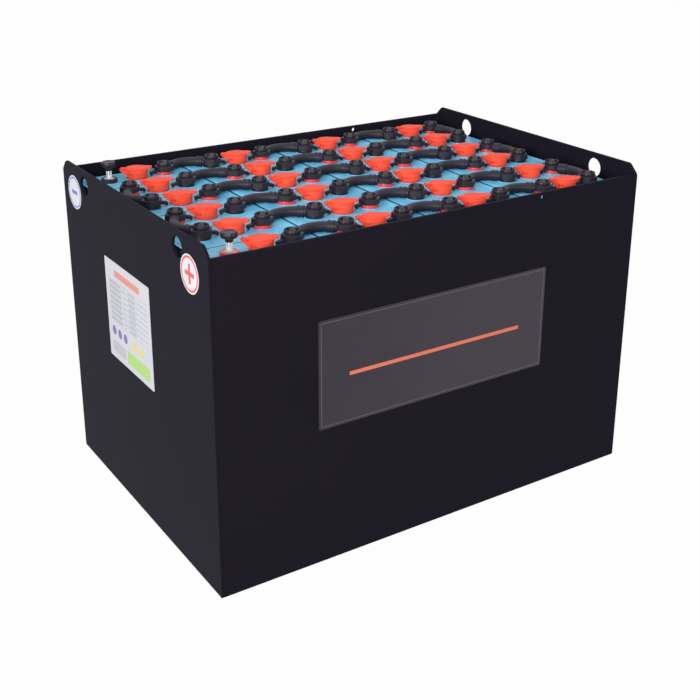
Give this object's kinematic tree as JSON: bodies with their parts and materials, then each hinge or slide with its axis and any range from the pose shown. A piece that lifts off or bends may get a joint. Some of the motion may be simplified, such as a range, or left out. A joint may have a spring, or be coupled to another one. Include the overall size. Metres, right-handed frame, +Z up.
{
  "type": "forklift traction battery",
  "caption": "Lead-acid traction battery for a forklift truck: black steel tray holding rows of blue-lidded cells with bolted flexible connectors and flip-top vent plugs.",
  "frame": {"origin": "centre of the tray's footprint, on the floor", "axes": "+Z up, +X along the tray towards its right end, the long side with the name plate faces -Y"},
  "size_m": [0.8304, 0.5775, 0.568],
  "materials": {
    "black_steel": "satin black powder coat",
    "packing": "matt extruded plastic",
    "jar_plastic": "satin moulded plastic",
    "lid_plastic": "satin moulded plastic",
    "lead": "dull cast lead",
    "red_seal": "gloss",
    "black_seal": "satin",
    "orange_plastic": "semi-gloss moulded plastic",
    "pin_plastic": "satin",
    "connector_rubber": "satin moulded rubber",
    "bolt_plastic": "satin moulded plastic",
    "bolt_steel": "bright plated",
    "plate_print": "satin",
    "label_film": "satin film"
  },
  "bodies": {
    "battery": {"tray_floor": "black_steel", "side_plate_front": "black_steel", "side_plate_back": "black_steel", "end_plate_left": "black_steel", "end_plate_right": "black_steel", "floor_mat": "packing", "packing_sheets": "packing", "cell_jars": "jar_plastic", "plate_packs": "lead", "cell_lids_row_1": "lid_plastic", "cell_lids_row_2": "lid_plastic", "cell_lids_row_3": "lid_plastic", "cell_lids_row_4": "lid_plastic", "cell_lids_row_5": "lid_plastic", "cell_lids_row_6": "lid_plastic", "positive_poles": "lead", "negative_poles": "lead", "positive_pole_seals": "red_seal", "negative_pole_seals": "black_seal", "vent_plug_bodies": "orange_plastic", "vent_hinge_pins": "pin_plastic", "row_connector_cables": "connector_rubber", "row_connector_collars": "connector_rubber", "row_connector_shrouds": "connector_rubber", "end_connector_cables": "connector_rubber", "end_connector_collars": "connector_rubber", "end_connector_shrouds": "connector_rubber", "pole_bolts": "bolt_plastic", "positive_terminal_bolt": "bolt_steel", "negative_terminal_bolt": "bolt_steel", "positive_terminal_knob": "bolt_plastic", "negative_terminal_knob": "bolt_plastic", "name_plate": "plate_print", "data_label": "label_film", "positive_sticker": "label_film", "negative_sticker": "label_film"},
    "vent_lid_row_1_cell_1": {"vent_lid_row_1_cell_1": "orange_plastic"},
    "vent_lid_row_1_cell_2": {"vent_lid_row_1_cell_2": "orange_plastic"},
    "vent_lid_row_1_cell_3": {"vent_lid_row_1_cell_3": "orange_plastic"},
    "vent_lid_row_1_cell_4": {"vent_lid_row_1_cell_4": "orange_plastic"},
    "vent_lid_row_2_cell_1": {"vent_lid_row_2_cell_1": "orange_plastic"},
    "vent_lid_row_2_cell_2": {"vent_lid_row_2_cell_2": "orange_plastic"},
    "vent_lid_row_2_cell_3": {"vent_lid_row_2_cell_3": "orange_plastic"},
    "vent_lid_row_2_cell_4": {"vent_lid_row_2_cell_4": "orange_plastic"},
    "vent_lid_row_3_cell_1": {"vent_lid_row_3_cell_1": "orange_plastic"},
    "vent_lid_row_3_cell_2": {"vent_lid_row_3_cell_2": "orange_plastic"},
    "vent_lid_row_3_cell_3": {"vent_lid_row_3_cell_3": "orange_plastic"},
    "vent_lid_row_3_cell_4": {"vent_lid_row_3_cell_4": "orange_plastic"},
    "vent_lid_row_4_cell_1": {"vent_lid_row_4_cell_1": "orange_plastic"},
    "vent_lid_row_4_cell_2": {"vent_lid_row_4_cell_2": "orange_plastic"},
    "vent_lid_row_4_cell_3": {"vent_lid_row_4_cell_3": "orange_plastic"},
    "vent_lid_row_4_cell_4": {"vent_lid_row_4_cell_4": "orange_plastic"},
    "vent_lid_row_5_cell_1": {"vent_lid_row_5_cell_1": "orange_plastic"},
    "vent_lid_row_5_cell_2": {"vent_lid_row_5_cell_2": "orange_plastic"},
    "vent_lid_row_5_cell_3": {"vent_lid_row_5_cell_3": "orange_plastic"},
    "vent_lid_row_5_cell_4": {"vent_lid_row_5_cell_4": "orange_plastic"},
    "vent_lid_row_6_cell_1": {"vent_lid_row_6_cell_1": "orange_plastic"},
    "vent_lid_row_6_cell_2": {"vent_lid_row_6_cell_2": "orange_plastic"},
    "vent_lid_row_6_cell_3": {"vent_lid_row_6_cell_3": "orange_plastic"},
    "vent_lid_row_6_cell_4": {"vent_lid_row_6_cell_4": "orange_plastic"}
  },
  "joints": [
    {"name": "vent_hinge_row_1_cell_1", "type": "hinge", "parent": "battery", "child": "vent_lid_row_1_cell_1", "pos_m": [-0.32443, -0.22111, 0.546], "axis": [-0.342, -0.9397, 0], "range_deg": [0, 100]},
    {"name": "vent_hinge_row_1_cell_2", "type": "hinge", "parent": "battery", "child": "vent_lid_row_1_cell_2", "pos_m": [-0.12443, -0.22111, 0.546], "axis": [-0.342, -0.9397, 0], "range_deg": [0, 100]},
    {"name": "vent_hinge_row_1_cell_3", "type": "hinge", "parent": "battery", "child": "vent_lid_row_1_cell_3", "pos_m": [0.07557, -0.22111, 0.546], "axis": [-0.342, -0.9397, 0], "range_deg": [0, 100]},
    {"name": "vent_hinge_row_1_cell_4", "type": "hinge", "parent": "battery", "child": "vent_lid_row_1_cell_4", "pos_m": [0.27557, -0.22111, 0.546], "axis": [-0.342, -0.9397, 0], "range_deg": [0, 100]},
    {"name": "vent_hinge_row_2_cell_1", "type": "hinge", "parent": "battery", "child": "vent_lid_row_2_cell_1", "pos_m": [-0.32443, -0.12911, 0.546], "axis": [-0.342, -0.9397, 0], "range_deg": [0, 100]},
    {"name": "vent_hinge_row_2_cell_2", "type": "hinge", "parent": "battery", "child": "vent_lid_row_2_cell_2", "pos_m": [-0.12443, -0.12911, 0.546], "axis": [-0.342, -0.9397, 0], "range_deg": [0, 100]},
    {"name": "vent_hinge_row_2_cell_3", "type": "hinge", "parent": "battery", "child": "vent_lid_row_2_cell_3", "pos_m": [0.07557, -0.12911, 0.546], "axis": [-0.342, -0.9397, 0], "range_deg": [0, 100]},
    {"name": "vent_hinge_row_2_cell_4", "type": "hinge", "parent": "battery", "child": "vent_lid_row_2_cell_4", "pos_m": [0.27557, -0.12911, 0.546], "axis": [-0.342, -0.9397, 0], "range_deg": [0, 100]},
    {"name": "vent_hinge_row_3_cell_1", "type": "hinge", "parent": "battery", "child": "vent_lid_row_3_cell_1", "pos_m": [-0.32443, -0.03711, 0.546], "axis": [-0.342, -0.9397, 0], "range_deg": [0, 100]},
    {"name": "vent_hinge_row_3_cell_2", "type": "hinge", "parent": "battery", "child": "vent_lid_row_3_cell_2", "pos_m": [-0.12443, -0.03711, 0.546], "axis": [-0.342, -0.9397, 0], "range_deg": [0, 100]},
    {"name": "vent_hinge_row_3_cell_3", "type": "hinge", "parent": "battery", "child": "vent_lid_row_3_cell_3", "pos_m": [0.07557, -0.03711, 0.546], "axis": [-0.342, -0.9397, 0], "range_deg": [0, 100]},
    {"name": "vent_hinge_row_3_cell_4", "type": "hinge", "parent": "battery", "child": "vent_lid_row_3_cell_4", "pos_m": [0.27557, -0.03711, 0.546], "axis": [-0.342, -0.9397, 0], "range_deg": [0, 100]},
    {"name": "vent_hinge_row_4_cell_1", "type": "hinge", "parent": "battery", "child": "vent_lid_row_4_cell_1", "pos_m": [-0.32443, 0.05489, 0.546], "axis": [-0.342, -0.9397, 0], "range_deg": [0, 100]},
    {"name": "vent_hinge_row_4_cell_2", "type": "hinge", "parent": "battery", "child": "vent_lid_row_4_cell_2", "pos_m": [-0.12443, 0.05489, 0.546], "axis": [-0.342, -0.9397, 0], "range_deg": [0, 100]},
    {"name": "vent_hinge_row_4_cell_3", "type": "hinge", "parent": "battery", "child": "vent_lid_row_4_cell_3", "pos_m": [0.07557, 0.05489, 0.546], "axis": [-0.342, -0.9397, 0], "range_deg": [0, 100]},
    {"name": "vent_hinge_row_4_cell_4", "type": "hinge", "parent": "battery", "child": "vent_lid_row_4_cell_4", "pos_m": [0.27557, 0.05489, 0.546], "axis": [-0.342, -0.9397, 0], "range_deg": [0, 100]},
    {"name": "vent_hinge_row_5_cell_1", "type": "hinge", "parent": "battery", "child": "vent_lid_row_5_cell_1", "pos_m": [-0.32443, 0.14689, 0.546], "axis": [-0.342, -0.9397, 0], "range_deg": [0, 100]},
    {"name": "vent_hinge_row_5_cell_2", "type": "hinge", "parent": "battery", "child": "vent_lid_row_5_cell_2", "pos_m": [-0.12443, 0.14689, 0.546], "axis": [-0.342, -0.9397, 0], "range_deg": [0, 100]},
    {"name": "vent_hinge_row_5_cell_3", "type": "hinge", "parent": "battery", "child": "vent_lid_row_5_cell_3", "pos_m": [0.07557, 0.14689, 0.546], "axis": [-0.342, -0.9397, 0], "range_deg": [0, 100]},
    {"name": "vent_hinge_row_5_cell_4", "type": "hinge", "parent": "battery", "child": "vent_lid_row_5_cell_4", "pos_m": [0.27557, 0.14689, 0.546], "axis": [-0.342, -0.9397, 0], "range_deg": [0, 100]},
    {"name": "vent_hinge_row_6_cell_1", "type": "hinge", "parent": "battery", "child": "vent_lid_row_6_cell_1", "pos_m": [-0.32443, 0.23889, 0.546], "axis": [-0.342, -0.9397, 0], "range_deg": [0, 100]},
    {"name": "vent_hinge_row_6_cell_2", "type": "hinge", "parent": "battery", "child": "vent_lid_row_6_cell_2", "pos_m": [-0.12443, 0.23889, 0.546], "axis": [-0.342, -0.9397, 0], "range_deg": [0, 100]},
    {"name": "vent_hinge_row_6_cell_3", "type": "hinge", "parent": "battery", "child": "vent_lid_row_6_cell_3", "pos_m": [0.07557, 0.23889, 0.546], "axis": [-0.342, -0.9397, 0], "range_deg": [0, 100]},
    {"name": "vent_hinge_row_6_cell_4", "type": "hinge", "parent": "battery", "child": "vent_lid_row_6_cell_4", "pos_m": [0.27557, 0.23889, 0.546], "axis": [-0.342, -0.9397, 0], "range_deg": [0, 100]}
  ]
}
